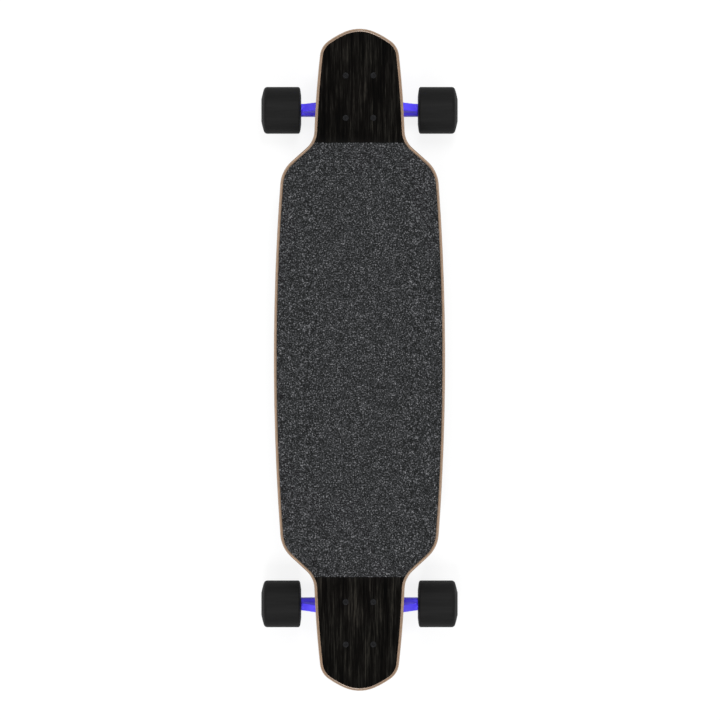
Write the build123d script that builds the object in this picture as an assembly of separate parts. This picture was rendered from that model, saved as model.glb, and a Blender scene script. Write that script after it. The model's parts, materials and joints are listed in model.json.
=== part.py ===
from build123d import *
from math import atan, cos, degrees, radians, sin, sqrt, tan
import os

# A longboard skateboard standing on its wheels, in millimetres.
# X runs across the board, Y points to the nose and Z is up.
# The origin is on the ground, midway between the four wheels.

# Deck outline, the same at the nose and the tail
deck_length = 991.0
deck_width = 256.0
deck_side_radius = 3590.0
shoulder_radius = 50.0
neck_radius = 36.0
neck_half_width = 67.8
neck_side_radius = 1500.0
neck_from_truck = 67.0
shoulder_from_neck = 44.5
nose_corner_half_width = 57.6
nose_corner_from_end = 27.4
nose_corner_radius = 30.0
nose_tip_radius = 56.0
nose_tip_angle = 23.0

# Deck section and pressing
core_thickness = 8.6
veneer_thickness = 1.2
grip_thickness = 0.9
edge_round = 4.0
grip_edge_gap = 0.3
grip_half_length = 325.0
platform_drop = 16.0
ramp_length = 72.0
flat_half_width = 60.0
concave_radius = 330.0
concave_angle = 14.5
press_overrun = 20.0

# Truck bolts
truck_spacing = 788.0
bolt_across = 41.3
bolt_along = 63.5
bolt_radius = 2.4
bolt_hole_radius = 2.6
bolt_head_radius = 4.6
bolt_head_angle = 41.0
bolt_head_sink = 0.2
bolt_head_gap = 0.05
bolt_end_past_nut = 2.0
cross_recess_length = 4.6
cross_recess_width = 1.1
cross_recess_depth = 1.5
bolt_nut_flats = 9.5
bolt_nut_height = 5.6
thread_gap = 0.02
nut_socket_gap = 1.52

# Truck geometry
truck_height = 66.0
axle_from_bolts = 24.7
steering_angle = 50.0
axle_reach = 39.0
axle_rake = 8.0

# Baseplate
plate_length = 85.0
plate_width = 57.0
plate_thickness = 6.0
plate_centre_shift = -2.5
plate_corner_radius = 9.0
plate_edge_round = 1.5
horn_radius = 11.5
horn_reach = 55.0
horn_mouth = 52.0
seat_boss_radius = 15.0
kingpin_seat_wall = 9.3
head_pocket_gap = 0.8

# Web of the baseplate, from the plate to the kingpin's seat and the horn
web_overlap = 1.0
web_side_inset = 5.7
web_past_seat_boss = 0.675
web_horn_inset = 1.0
web_back_inset = 0.5
web_back_rise = 4.0
web_mouth_inset = 2.0
web_bend_reach = 6.0
web_bend_drop = 4.0
web_outer_reach = 3.0

# Kingpin, washers and bushings
kingpin_radius = 4.76
kingpin_gap = 0.05
kingpin_head_flats = 14.3
kingpin_head_height = 6.0
kingpin_end_past_nut = 2.5
kingpin_chamfer = 1.0
kingpin_nut_flats = 14.3
kingpin_nut_height = 8.0
ring_thickness = 8.0
bushing_height = 14.2
bushing_radius = 12.3
bushing_cone_radius = 9.6
bushing_bore_gap = 0.25
bushing_edge_round = 1.2
cup_washer_thickness = 1.5
cup_washer_rim = 2.2
cup_washer_wall = 1.0
cup_washer_radius = 13.4
small_washer_radius = 11.4

# Hanger
hanger_width = 185.0
hanger_end_radius = 9.75
hanger_mid_radius = 10.4
hanger_end_chamfer = 0.8
ring_radius = 18.0
ring_hole_radius = 7.0
ring_lip = 3.0
ring_seat_radius = 13.0
ring_chamfer = 1.0
wing_root_reach = 10.0
wing_root_half_width = 15.0
wing_root_inset = 1.0
wing_tip_from_end = 6.5
wing_tip_edge_inset = 1.0
wing_tip_face_inset = 2.0
pocket_floor = 2.0
pocket_inner_edge = 8.0
pocket_outer_edge = 49.0
pocket_corner = 52.0
pocket_corner_run = 2.0
pocket_from_barrel = 1.0
pocket_ring_overlap = 2.0
nose_radius = 5.0
nose_hub_radius = 9.0
nose_hub_taper = 4.0
nose_shoulder_inset = 2.0
nose_mouth_gap = 0.5
nose_fit_gap = 0.06
cup_wall = 3.0
cup_fit_gap = 0.02

# Axle hardware and bearings
axle_radius = 4.0
axle_end_past_nut = 1.5
axle_fit_gap = 0.01
axle_chamfer = 0.8
bearing_outer_radius = 11.0
bearing_width = 7.0
bearing_inner_ring_radius = 6.0
bearing_outer_ring_bore = 9.3
shield_thickness = 0.4
shield_inset = 0.3
shield_gap = 0.15
ball_ring_width = 4.0
ball_ring_gap = 0.3
spacer_length = 10.0
spacer_radius = 5.2
speed_washer_thickness = 1.0
speed_washer_radius = 5.6
axle_nut_flats = 13.0
axle_nut_height = 6.0

# Wheels
wheel_radius = 35.0
wheel_overhang = 6.5
wheel_width = 59.8
tread_from_inner = 3.8
tread_width = 48.4
inner_corner_drop = 4.5
outer_corner_run = 4.4
outer_corner_drop = 4.6
inner_lip_slope = 1.3
inner_lip_radius = 19.8
outer_lip_radius = 19.4
lip_round = 0.8
lip_depth = 1.0
lip_mid_depth = 0.3
lip_dish_drop = 0.6
face_bulge = 0.6
dish_radius = 16.6
core_radius = 18.5
core_width = 27.0
core_rib_bore = 9.6
core_lip = 1.0
bearing_fit_gap = 0.01

# How far along and how far down each rounded corner of the tread its middle point lies
inner_bend_share = 0.25
inner_bend_drop_share = 1 / 3
outer_bend_share = 0.68
outer_bend_drop_share = 0.32

# How far a cutter runs past the face that it opens
cut_overrun = 1.0

# Picking corners, faces and edges for rounding; the slopes are parts of a direction of length 1
same_point = 0.1
side_face_slope = 0.2
upright_edge_slope = 0.9

# Dependent sizes
deck_thickness = core_thickness + 2 * veneer_thickness
mount_height = wheel_radius + truck_height
truck_y = truck_spacing / 2
neck_y = truck_y - neck_from_truck
shoulder_y = neck_y - shoulder_from_neck
ramp_outer_y = truck_y + plate_centre_shift - plate_length / 2
bearing_start = hanger_width / 2 + speed_washer_thickness
wheel_inner_face = bearing_start - wheel_overhang
second_bearing_start = bearing_start + bearing_width + spacer_length
outer_washer_start = second_bearing_start + bearing_width
axle_length = 2 * (outer_washer_start + speed_washer_thickness + axle_nut_height + axle_end_past_nut)
king_ring_half = ring_thickness / 2
washer_seat = king_ring_half + bushing_height + cup_washer_thickness
wing_tip_half_width = hanger_width / 2 - wing_tip_from_end


def axis_out():
    """The steering axis, from the ring down to the pivot nose, as (y, z)."""
    return -cos(radians(steering_angle)), -sin(radians(steering_angle))


def axis_king():
    """The kingpin's direction, out towards the deck's end and down, as (y, z)."""
    return sin(radians(steering_angle)), -cos(radians(steering_angle))


# The ring's centre in the truck's own frame, whose origin is on the mounting face midway between the bolts
ring_y = -axle_from_bolts - axle_reach * axis_out()[0] - axle_rake * axis_king()[0]
ring_z = -truck_height - axle_reach * axis_out()[1] - axle_rake * axis_king()[1]

# In the king frame the ring's centre is the origin, Y runs to the pivot nose and Z to the kingpin's nut
king_frame = Plane(origin=(0, ring_y, ring_z), x_dir=(1, 0, 0), z_dir=(0, *axis_king()))


def truck_point(reach, lift):
    """The truck's (y, z) of a point given by its reach along the steering axis and its lift."""
    out, king = axis_out(), axis_king()
    return ring_y + reach * out[0] + lift * king[0], ring_z + reach * out[1] + lift * king[1]


def flat_shape(points):
    return make_face(Polyline(*points, close=True))


def turned(points, axis):
    """A closed profile turned all the way round an axis."""
    return revolve(flat_shape(points), axis)


def rod(radius, start, length):
    """A round bar along Z."""
    return Pos(0, 0, start) * extrude(Circle(radius), length)


def tube(outer, inner, start, length):
    """A tube along Z."""
    return Pos(0, 0, start) * extrude(Circle(outer) - Circle(inner), length)


def round_ended_bar(radius, start, centre):
    """A bar along Y from its flat start, closed by a half ball round its end's centre."""
    middle = (radius * sin(radians(45)), centre + radius * cos(radians(45)))
    profile = Curve() + [
        Polyline((0, centre + radius), (0, start), (radius, start), (radius, centre)),
        ThreePointArc((radius, centre), middle, (0, centre + radius)),
    ]
    return revolve(make_face(profile), Axis.Y)


def hexagon_prism(flats, start, height):
    return Pos(0, 0, start) * extrude(RegularPolygon(flats / 2, 6, major_radius=False), height)


def along_axle(shape):
    """Turns a shape from the Z axis to the X axis."""
    return Rot(0, 90, 0) * shape


def group(shapes):
    """Separate solids of one node."""
    return Compound(children=[solid for shape in shapes for solid in shape.solids()])


def deck_outline(inset=0.0):
    """The deck's outline from above, drawn in by an inset."""
    tip_turn = radians(nose_tip_angle)
    tip_end = (
        nose_tip_radius * sin(tip_turn),
        deck_length / 2 - nose_tip_radius * (1 - cos(tip_turn)),
    )
    tip_middle = (
        nose_tip_radius * sin(tip_turn / 2),
        deck_length / 2 - nose_tip_radius * (1 - cos(tip_turn / 2)),
    )
    corner = (nose_corner_half_width, deck_length / 2 - nose_corner_from_end)
    neck = (neck_half_width, neck_y)
    side_drop = deck_side_radius - sqrt(deck_side_radius**2 - shoulder_y**2)
    middle_drop = deck_side_radius - sqrt(deck_side_radius**2 - (shoulder_y / 2) ** 2)
    shoulder = (deck_width / 2 - side_drop, shoulder_y)
    quarter = Curve() + [
        ThreePointArc((0, deck_length / 2), tip_middle, tip_end),
        TangentArc(tip_end, corner, tangent=(cos(tip_turn), -sin(tip_turn))),
        RadiusArc(corner, neck, neck_side_radius),
        Line(neck, shoulder),
        ThreePointArc(
            shoulder, (deck_width / 2 - middle_drop, shoulder_y / 2), (deck_width / 2, 0)
        ),
    ]
    half = quarter + mirror(quarter, Plane.YZ)
    outline = make_face(half + mirror(half, Plane.XZ))
    for point, radius in (
        (corner, nose_corner_radius),
        (neck, neck_radius),
        (shoulder, shoulder_radius),
    ):
        near = [
            vertex
            for vertex in outline.vertices()
            if abs(abs(vertex.X) - point[0]) + abs(abs(vertex.Y) - point[1]) < same_point
        ]
        outline = fillet(near, radius)
    return offset(outline, -inset) if inset else outline


def press_path():
    """The line of the deck's underside from tail to nose, dropped between the two ramps."""
    turn = 2 * atan(platform_drop / ramp_length)
    radius = ramp_length / (2 * sin(turn))
    angle = degrees(turn)
    overrun = deck_length / 2 + press_overrun
    ramp_inner_y = ramp_outer_y - ramp_length
    with BuildLine(Plane.YZ) as path:
        Line((-overrun, mount_height), (-ramp_outer_y, mount_height))
        fall = JernArc(path.line @ 1, path.line % 1, radius, -angle)
        level = JernArc(fall @ 1, fall % 1, radius, angle)
        flat = Line(level @ 1, (ramp_inner_y, mount_height - platform_drop))
        rise = JernArc(flat @ 1, flat % 1, radius, angle)
        level_end = JernArc(rise @ 1, rise % 1, radius, -angle)
        Line(level_end @ 1, (overrun, mount_height))
    return path.line


def press_section(low, high):
    """The section across the press: flat in the middle, with both sides curved up."""
    turn = radians(concave_angle)

    def side_points(height):
        radius = concave_radius - height
        points = []
        for part in (0.0, 0.5, 1.0):
            points.append(
                (
                    flat_half_width + radius * sin(part * turn),
                    concave_radius - radius * cos(part * turn),
                )
            )
        return points

    lower, upper = side_points(low), side_points(high)
    right = Curve() + [
        Line((0, low), lower[0]),
        ThreePointArc(*lower),
        Line(lower[2], upper[2]),
        ThreePointArc(*upper),
        Line(upper[0], (0, high)),
    ]
    return make_face(right + mirror(right, Plane.YZ))


def pressed_sheet(low, high):
    """A sheet of the press between two heights above the underside, larger than the deck all round."""
    start = Plane.XZ.offset(deck_length / 2 + press_overrun)
    section = start * Pos(0, mount_height) * press_section(low, high)
    return sweep(section, press_path())


def trimmed_sheet(low, high, inset, half_length=None):
    """A pressed sheet cut to the deck's outline."""
    outline = deck_outline(inset)
    if half_length:
        outline = outline & Rectangle(2 * deck_width, 2 * half_length)
    cutter = Pos(0, 0, mount_height - 3 * platform_drop) * extrude(outline, 6 * platform_drop)
    return pressed_sheet(low, high) & cutter


def rim_edges(solid):
    """The edges along the top and bottom of a trimmed sheet's cut side."""
    edges = []
    for face in solid.faces():
        if abs(face.normal_at(face.center()).Z) > side_face_slope:
            continue
        for edge in face.edges():
            if abs((edge % 0.5).Z) < upright_edge_slope:
                edges.append(edge)
    return edges


def bolt_places(end):
    """The four bolts of one truck; end is 1 at the nose and -1 at the tail."""
    places = []
    for side in (-1, 1):
        for row in (-1, 1):
            places.append((side * bolt_across / 2, end * truck_y + row * bolt_along / 2))
    return places


def head_depth(radius_from, radius_to):
    return (radius_from - radius_to) / tan(radians(bolt_head_angle))


def bolt_cutter():
    """A bolt's hole through the deck, with its countersink, standing on the mounting face."""
    top = deck_thickness
    wide = bolt_head_radius + bolt_head_gap
    bottom = top - bolt_head_sink - head_depth(wide, bolt_hole_radius)
    profile = [
        (0, -cut_overrun),
        (bolt_hole_radius, -cut_overrun),
        (bolt_hole_radius, bottom),
        (wide, top - bolt_head_sink),
        (wide, top + cut_overrun),
        (0, top + cut_overrun),
    ]
    return turned([(x, 0, z) for x, z in profile], Axis.Z)


def drilled(sheet):
    cutter = bolt_cutter()
    holes = []
    for end in (1, -1):
        for x, y in bolt_places(end):
            holes.append(Pos(x, y, mount_height) * cutter)
    return sheet - holes


def deck_core():
    core = trimmed_sheet(veneer_thickness, veneer_thickness + core_thickness, 0)
    core = fillet(rim_edges(core), edge_round)
    return drilled(core)


def deck_top_veneer():
    low = veneer_thickness + core_thickness
    return drilled(trimmed_sheet(low, deck_thickness, edge_round))


def deck_bottom_veneer():
    return drilled(trimmed_sheet(0, veneer_thickness, edge_round))


def grip_tape():
    inset = edge_round + grip_edge_gap
    return trimmed_sheet(deck_thickness, deck_thickness + grip_thickness, inset, grip_half_length)


def mounting_bolt():
    """A countersunk bolt, with its underside at the deck's mounting face."""
    top = deck_thickness - bolt_head_sink
    bottom = -plate_thickness - bolt_nut_height - bolt_end_past_nut
    profile = [
        (0, bottom),
        (bolt_radius, bottom),
        (bolt_radius, top - head_depth(bolt_head_radius, bolt_radius)),
        (bolt_head_radius, top),
        (0, top),
    ]
    bolt = turned([(x, 0, z) for x, z in profile], Axis.Z)
    slot = Box(cross_recess_length, cross_recess_width, 2 * cross_recess_depth)
    return bolt - Pos(0, 0, top) * (slot + Rot(0, 0, 90) * slot)


def mounting_nut():
    nut = hexagon_prism(bolt_nut_flats, -plate_thickness - bolt_nut_height, bolt_nut_height)
    return nut - Pos(0, 0, -truck_height) * Cylinder(bolt_radius + thread_gap, 4 * truck_height)


def mounting_plate():
    """The flat plate under the deck, with its lower edge rounded."""
    outline = RectangleRounded(plate_width, plate_length, plate_corner_radius)
    plate = extrude(Pos(0, plate_centre_shift) * outline, -plate_thickness)
    return fillet(plate.faces().sort_by(Axis.Z)[0].edges(), plate_edge_round)


def web_side():
    """The web seen from the side: plate, horn and the slanted seat of the kingpin."""
    inner_end = plate_centre_shift - plate_length / 2
    root = -plate_thickness + web_overlap
    seat_low = truck_point(seat_boss_radius, -washer_seat)
    seat_high = truck_point(-seat_boss_radius, -washer_seat)
    horn_back = truck_point(horn_reach, -horn_radius)
    return flat_shape(
        [
            (inner_end + web_overlap, root),
            (horn_back[0] - web_back_inset, horn_back[1] + web_back_rise),
            horn_back,
            truck_point(horn_reach, 0),
            truck_point(horn_mouth - web_mouth_inset, -horn_radius + web_mouth_inset),
            truck_point(seat_boss_radius + web_bend_reach, -horn_radius - web_bend_drop),
            seat_low,
            seat_high,
            (seat_high[0] + web_outer_reach, root),
        ]
    )


def web_front():
    """The web seen along the board: broad at the plate, waisted at the seat and narrow at the horn."""
    root = -plate_thickness + web_overlap
    root_half_width = plate_width / 2 - web_side_inset
    waist_half_width = seat_boss_radius + web_past_seat_boss
    seat_low = truck_point(seat_boss_radius, -washer_seat)[1]
    horn_back = truck_point(horn_reach, -horn_radius)[1]
    horn = truck_point(horn_reach, 0)[1]
    horn_half_width = horn_radius - web_horn_inset
    return flat_shape(
        [
            (-root_half_width, root),
            (-waist_half_width, seat_low),
            (-horn_half_width, horn_back),
            (-horn_half_width, horn),
            (horn_half_width, horn),
            (horn_half_width, horn_back),
            (waist_half_width, seat_low),
            (root_half_width, root),
        ]
    )


def baseplate():
    """The cast baseplate: a bolted plate, the angled kingpin seat and the horn for the pivot cup."""
    side = extrude(Plane.YZ * web_side(), plate_width, both=True)
    web = side & extrude(Plane.XZ * web_front(), plate_length, both=True)
    seat_boss = king_frame * rod(seat_boss_radius, -washer_seat - kingpin_seat_wall, kingpin_seat_wall)
    horn = king_frame * round_ended_bar(horn_radius, horn_mouth, horn_reach)
    below = Pos(0, 0, -2 * truck_height) * Box(4 * plate_width, 4 * plate_length, 4 * truck_height)
    body = mounting_plate() + ((web + seat_boss) & below) + horn

    bore_length = 3 * kingpin_seat_wall
    bore = rod(kingpin_radius + kingpin_gap, -washer_seat - bore_length / 2, bore_length)
    pocket_radius = kingpin_head_flats / 2 / cos(radians(30)) + head_pocket_gap
    pocket = rod(pocket_radius, -washer_seat - kingpin_seat_wall - truck_height, truck_height)
    cup_radius = nose_radius + nose_fit_gap + cup_wall + cup_fit_gap
    cup_bore = round_ended_bar(cup_radius, horn_mouth - horn_radius, horn_reach)
    for cut in (bore, pocket, cup_bore):
        body = body - king_frame * cut

    hole = Cylinder(bolt_hole_radius, 4 * plate_thickness)
    socket_depth = bolt_nut_height + cut_overrun
    socket = Cylinder(bolt_nut_flats / 2 + nut_socket_gap, 2 * socket_depth)
    holes = []
    for side_sign in (-1, 1):
        for row in (-1, 1):
            place = (side_sign * bolt_across / 2, row * bolt_along / 2)
            holes.append(Pos(*place) * hole)
            holes.append(Pos(*place, -plate_thickness - socket_depth) * socket)
    return body - holes


def kingpin():
    """The hex-headed kingpin, whose head sits in the baseplate's pocket."""
    start = -washer_seat - kingpin_seat_wall
    end = washer_seat + kingpin_nut_height + kingpin_end_past_nut
    shank = rod(kingpin_radius, start, end - start)
    shank = chamfer(shank.edges().sort_by(Axis.Z)[-1], kingpin_chamfer)
    head = hexagon_prism(kingpin_head_flats, start - kingpin_head_height, kingpin_head_height)
    return king_frame * (shank + head)


def kingpin_nut():
    nut = hexagon_prism(kingpin_nut_flats, washer_seat, kingpin_nut_height)
    return king_frame * (nut - Cylinder(kingpin_radius + thread_gap, 4 * washer_seat))


def cup_washer(radius):
    """A dished washer lying on Z = 0, whose rim grips the bushing above it."""
    bore = kingpin_radius + kingpin_gap
    inner = radius - cup_washer_wall
    profile = [
        (bore, 0),
        (inner, 0),
        (radius, cup_washer_wall),
        (radius, cup_washer_rim),
        (inner, cup_washer_rim),
        (inner, cup_washer_thickness),
        (bore, cup_washer_thickness),
    ]
    return turned([(x, 0, z) for x, z in profile], Axis.Z)


def kingpin_washers():
    upper = Pos(0, 0, -washer_seat) * cup_washer(cup_washer_radius)
    lower = Pos(0, 0, washer_seat) * Rot(180, 0, 0) * cup_washer(small_washer_radius)
    return king_frame * group([upper, lower])


def bushing(top_radius):
    """A urethane bushing standing on the ring, narrowed to its top radius."""
    bore = kingpin_radius + bushing_bore_gap
    edge = bushing_edge_round
    profile = [
        (bore, 0),
        (bushing_radius - edge, 0),
        (bushing_radius, edge),
        (bushing_radius, ring_lip),
        (top_radius, bushing_height - edge),
        (top_radius - edge, bushing_height),
        (bore, bushing_height),
    ]
    solid = turned([(x, 0, z) for x, z in profile], Axis.Z)
    return Pos(0, 0, king_ring_half) * solid


def hanger_barrel():
    """The barrel round the axle, a little fuller in its middle."""
    half = hanger_width / 2
    edge = hanger_end_chamfer
    profile = [
        (-half, 0),
        (-half, hanger_end_radius - edge),
        (-half + edge, hanger_end_radius),
        (0, hanger_mid_radius),
        (half - edge, hanger_end_radius),
        (half, hanger_end_radius - edge),
        (half, 0),
    ]
    return Pos(0, axle_reach, axle_rake) * turned(profile, Axis.X)


def hanger_wings():
    """The two wings between ring and barrel, with a three-cornered pocket in each."""
    ring_half = king_ring_half + ring_lip
    tip, root = wing_tip_half_width, wing_root_half_width
    tip_reach = axle_reach - hanger_end_radius + wing_tip_edge_inset
    plan = flat_shape(
        [
            (-tip, axle_reach),
            (-tip, tip_reach),
            (-root, wing_root_reach),
            (0, 0),
            (root, wing_root_reach),
            (tip, tip_reach),
            (tip, axle_reach),
        ]
    )
    tip_half_thickness = hanger_end_radius - wing_tip_face_inset
    side = flat_shape(
        [
            (0, -ring_half + wing_root_inset),
            (axle_reach, axle_rake - tip_half_thickness),
            (axle_reach, axle_rake + tip_half_thickness),
            (0, ring_half - wing_root_inset),
        ]
    )
    wings = extrude(plan, 4 * ring_half, both=True)
    wings = wings & extrude(Plane.YZ * side, hanger_width / 2, both=True)
    far_side = axle_reach - hanger_end_radius - pocket_from_barrel
    pockets = []
    for sign in (-1, 1):
        pocket = flat_shape(
            [
                (sign * pocket_inner_edge, ring_radius - pocket_ring_overlap),
                (sign * pocket_inner_edge, far_side),
                (sign * pocket_corner, far_side),
                (sign * pocket_outer_edge, far_side - pocket_corner_run),
            ]
        )
        pockets.append(Pos(0, 0, pocket_floor) * extrude(pocket, 4 * ring_half))
    return wings - pockets


def hanger_ring():
    """The ring that the two bushings hold, with a raised lip round each bushing."""
    half = king_ring_half + ring_lip
    inner = ring_radius - ring_chamfer
    profile = [
        (0, 0, -half),
        (inner, 0, -half),
        (ring_radius, 0, -half + ring_chamfer),
        (ring_radius, 0, half - ring_chamfer),
        (inner, 0, half),
        (0, 0, half),
    ]
    return turned(profile, Axis.Z)


def hanger_nose():
    """The hub behind the barrel and the pivot nose, on the steering axis."""
    start = ring_radius - ring_chamfer
    end = horn_mouth - nose_mouth_gap
    profile = [
        (0, start),
        (nose_hub_radius, start + nose_hub_taper),
        (nose_hub_radius, axle_reach + hanger_mid_radius - nose_shoulder_inset),
        (nose_radius, end),
        (0, end),
    ]
    return turned(profile, Axis.Y)


def hanger():
    """The cast hanger: axle barrel, wings, bushing ring and pivot nose."""
    nose_tip = round_ended_bar(nose_radius, axle_reach, horn_reach)
    body = hanger_barrel() + hanger_wings() + hanger_ring() + hanger_nose() + nose_tip
    seat = rod(ring_seat_radius, king_ring_half, 2 * ring_lip)
    hole = Cylinder(ring_hole_radius, 4 * (king_ring_half + ring_lip))
    body = body - seat - mirror(seat, Plane.XY) - hole
    bore = along_axle(Cylinder(axle_radius + axle_fit_gap, 2 * hanger_width))
    return king_frame * (body - Pos(0, axle_reach, axle_rake) * bore)


def pivot_cup():
    """The urethane cup that the hanger's nose turns in."""
    inner = nose_radius + nose_fit_gap
    cup = round_ended_bar(inner + cup_wall, horn_mouth, horn_reach)
    return king_frame * (cup - round_ended_bar(inner, horn_mouth - cup_wall, horn_reach))


def on_axle(shape):
    """Places a shape made on the X axis on the truck's axle."""
    return Pos(0, -axle_from_bolts, -truck_height) * shape


def both_ends(shapes):
    """Copies of shapes made on the axle's right end, at both ends of the axle."""
    copies = []
    for shape in shapes:
        copies.extend([shape, mirror(shape, Plane.YZ)])
    return group(copies)


def axle():
    bar = Cylinder(axle_radius, axle_length)
    bar = chamfer(bar.edges().filter_by(GeomType.CIRCLE), axle_chamfer)
    return on_axle(along_axle(bar))


def axle_ring(outer, start, length, inner=axle_radius + axle_fit_gap):
    return along_axle(tube(outer, inner, start, length))


def speed_washers():
    inner = axle_ring(speed_washer_radius, hanger_width / 2, speed_washer_thickness)
    outer = axle_ring(speed_washer_radius, outer_washer_start, speed_washer_thickness)
    return on_axle(both_ends([inner, outer]))


def bearing_starts():
    return bearing_start, second_bearing_start


def bearing_inner_rings():
    rings = []
    for start in bearing_starts():
        rings.append(axle_ring(bearing_inner_ring_radius, start, bearing_width))
    return on_axle(both_ends(rings))


def bearing_spacers():
    spacer = axle_ring(spacer_radius, bearing_start + bearing_width, spacer_length)
    return on_axle(both_ends([spacer]))


def axle_nuts():
    nut = hexagon_prism(axle_nut_flats, outer_washer_start + speed_washer_thickness, axle_nut_height)
    nut = nut - Cylinder(axle_radius + thread_gap, 2 * axle_length)
    return on_axle(both_ends([along_axle(nut)]))


def tyre():
    """The urethane tyre of a right-hand wheel: tread, rounded corners, lips and dished faces."""
    inner, outer = wheel_inner_face, wheel_inner_face + wheel_width
    tread_start = inner + tread_from_inner
    tread = [(tread_start, wheel_radius), (tread_start + tread_width, wheel_radius)]
    core_start = bearing_start - core_lip
    core_end = core_start + core_width
    inner_shoulder = (inner + inner_lip_slope, wheel_radius - inner_corner_drop)
    inner_bend = (
        inner_shoulder[0] + inner_bend_share * tread_from_inner,
        wheel_radius - inner_bend_drop_share * inner_corner_drop,
    )
    outer_shoulder = (tread[1][0] + outer_corner_run, wheel_radius - outer_corner_drop)
    outer_bend = (
        tread[1][0] + outer_bend_share * outer_corner_run,
        wheel_radius - outer_bend_drop_share * outer_corner_drop,
    )
    inner_lip, inner_mid = (inner, inner_lip_radius + lip_round), (inner + lip_mid_depth, inner_lip_radius)
    outer_lip, outer_mid = (outer, outer_lip_radius + lip_round), (outer - lip_mid_depth, outer_lip_radius)
    inner_edge = (inner + lip_depth, inner_lip_radius - lip_dish_drop)
    outer_edge = (outer - lip_depth, outer_lip_radius - lip_dish_drop)
    face_bend = (
        (outer_shoulder[0] + outer_lip[0]) / 2 + face_bulge,
        (outer_shoulder[1] + outer_lip[1]) / 2,
    )
    profile = Curve() + [
        Line((core_start, core_radius), (core_start, dish_radius)),
        Line((core_start, dish_radius), inner_edge),
        ThreePointArc(inner_edge, inner_mid, inner_lip),
        Line(inner_lip, inner_shoulder),
        ThreePointArc(inner_shoulder, inner_bend, tread[0]),
        Line(*tread),
        ThreePointArc(tread[1], outer_bend, outer_shoulder),
        ThreePointArc(outer_shoulder, face_bend, outer_lip),
        ThreePointArc(outer_lip, outer_mid, outer_edge),
        Line(outer_edge, (core_end, dish_radius)),
        Line((core_end, dish_radius), (core_end, core_radius)),
        Line((core_end, core_radius), (core_start, core_radius)),
    ]
    return revolve(make_face(profile), Axis.X)


def wheel_core():
    """The wheel's hub, with a bearing seat at each face and a rib between them."""
    start = bearing_start - core_lip
    end = start + core_width
    seat = bearing_outer_radius + bearing_fit_gap
    rib_start = bearing_start + bearing_width
    rib_end = rib_start + spacer_length
    return turned(
        [
            (start, core_radius),
            (start, seat + core_lip),
            (start + core_lip, seat),
            (rib_start, seat),
            (rib_start, core_rib_bore),
            (rib_end, core_rib_bore),
            (rib_end, seat),
            (end - core_lip, seat),
            (end, seat + core_lip),
            (end, core_radius),
        ],
        Axis.X,
    )


def bearing_outer_rings():
    rings = []
    for start in bearing_starts():
        rings.append(axle_ring(bearing_outer_radius, start, bearing_width, bearing_outer_ring_bore))
    return group(rings)


def bearing_shields():
    shields = []
    bore = bearing_inner_ring_radius + shield_gap
    for start in bearing_starts():
        for at in (start + shield_inset, start + bearing_width - shield_inset - shield_thickness):
            shields.append(axle_ring(bearing_outer_ring_bore, at, shield_thickness, bore))
    return group(shields)


def ball_rings():
    """The ring of balls and their cage in each bearing, as one plain ring."""
    rings = []
    outer = bearing_outer_ring_bore - ball_ring_gap
    inner = bearing_inner_ring_radius + ball_ring_gap
    for start in bearing_starts():
        at = start + (bearing_width - ball_ring_width) / 2
        rings.append(axle_ring(outer, at, ball_ring_width, inner))
    return group(rings)


def at_truck(shape, end):
    """Places a shape of the truck's frame under the nose (1) or, turned round, the tail (-1)."""
    turn = 0 if end == 1 else 180
    return Pos(0, end * truck_y, mount_height) * Rot(0, 0, turn) * shape


def at_wheel(shape, side, end):
    """Places a right-hand wheel's shape on one of the four axle ends."""
    turned_shape = shape if side == 1 else mirror(shape, Plane.YZ)
    return Pos(0, end * (truck_y - axle_from_bolts), wheel_radius) * turned_shape


def save(name, shape):
    export_step(shape, f"parts/{name}.step")


os.makedirs("parts", exist_ok=True)

save("deck_core", deck_core())
save("deck_top_veneer", deck_top_veneer())
save("deck_bottom_veneer", deck_bottom_veneer())
save("grip_tape", grip_tape())

truck_parts = {
    "baseplate": baseplate(),
    "kingpin": kingpin(),
    "kingpin_nut": kingpin_nut(),
    "kingpin_washers": kingpin_washers(),
    "boardside_bushing": king_frame * mirror(bushing(bushing_radius), Plane.XY),
    "roadside_bushing": king_frame * bushing(bushing_cone_radius),
    "pivot_cup": pivot_cup(),
    "hanger": hanger(),
    "axle": axle(),
    "speed_washers": speed_washers(),
    "bearing_inner_rings": bearing_inner_rings(),
    "bearing_spacers": bearing_spacers(),
    "axle_nuts": axle_nuts(),
}
wheel_parts = {
    "tyre": tyre(),
    "wheel_core": wheel_core(),
    "bearing_outer_rings": bearing_outer_rings(),
    "bearing_shields": bearing_shields(),
    "ball_rings": ball_rings(),
}
for end_name, end in (("front", 1), ("rear", -1)):
    for name, shape in truck_parts.items():
        save(f"{end_name}_{name}", at_truck(shape, end))
    for name, shape in (("mounting_bolts", mounting_bolt()), ("mounting_nuts", mounting_nut())):
        copies = [Pos(x, y, mount_height) * shape for x, y in bolt_places(end)]
        save(f"{end_name}_{name}", group(copies))
    for side_name, side in (("left", -1), ("right", 1)):
        for name, shape in wheel_parts.items():
            save(f"{end_name}_{side_name}_{name}", at_wheel(shape, side, end))
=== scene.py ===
import bmesh
import bpy
import json
import math
from mathutils import Matrix, Vector
from mathutils.bvhtree import BVHTree


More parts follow.
